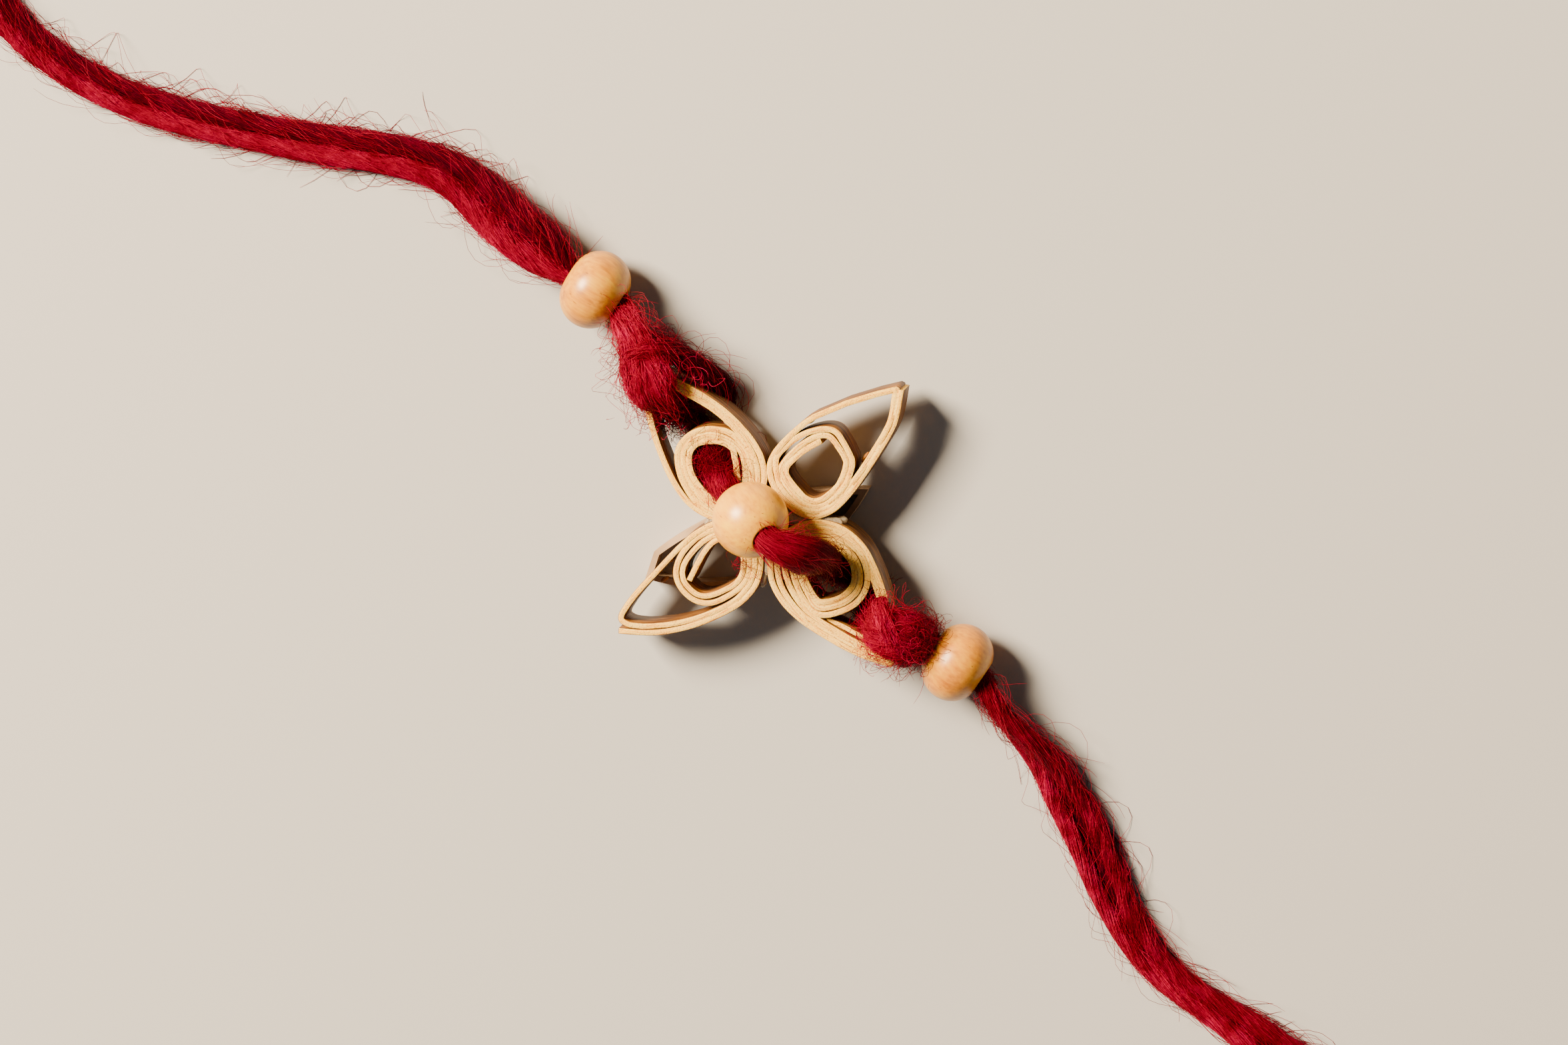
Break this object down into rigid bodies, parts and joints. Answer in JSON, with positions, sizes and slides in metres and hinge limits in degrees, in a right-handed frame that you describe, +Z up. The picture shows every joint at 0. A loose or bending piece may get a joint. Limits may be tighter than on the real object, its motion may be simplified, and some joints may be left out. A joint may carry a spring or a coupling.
{
  "type": "thread bracelet",
  "caption": "Rakhi wrist bracelet, untied: a quilled flower of wood strip with a round bead on top, between turned wooden beads on a doubled red wool yarn.",
  "frame": {"origin": "midway between the side beads and between the tips of the far and the near petal, on the surface that the bracelet lies on", "axes": "+X along the bracelet from the left side bead to the right one, +Y from the near petal to the far one, +Z up off the surface"},
  "size_m": [0.1778, 0.0429, 0.0145],
  "materials": {
    "strip": "raw cut edges, satin",
    "bead_wood": "turned, satin",
    "yarn": "fluffy wool"
  },
  "bodies": {
    "root": {"petal_far": "strip", "petal_near": "strip", "petal_left": "strip", "petal_right": "strip", "back_loop": "strip", "bead_centre": "bead_wood", "bead_left": "bead_wood", "bead_right": "bead_wood", "yarn_wrap_left": "yarn", "yarn_wrap_right": "yarn", "yarn_arch": "yarn", "yarn_neck_left": "yarn", "yarn_neck_right": "yarn", "yarn_behind_left": "yarn", "yarn_left_a": "yarn", "yarn_left_b": "yarn", "yarn_right_a": "yarn", "yarn_right_b": "yarn"}
  },
  "joints": []
}
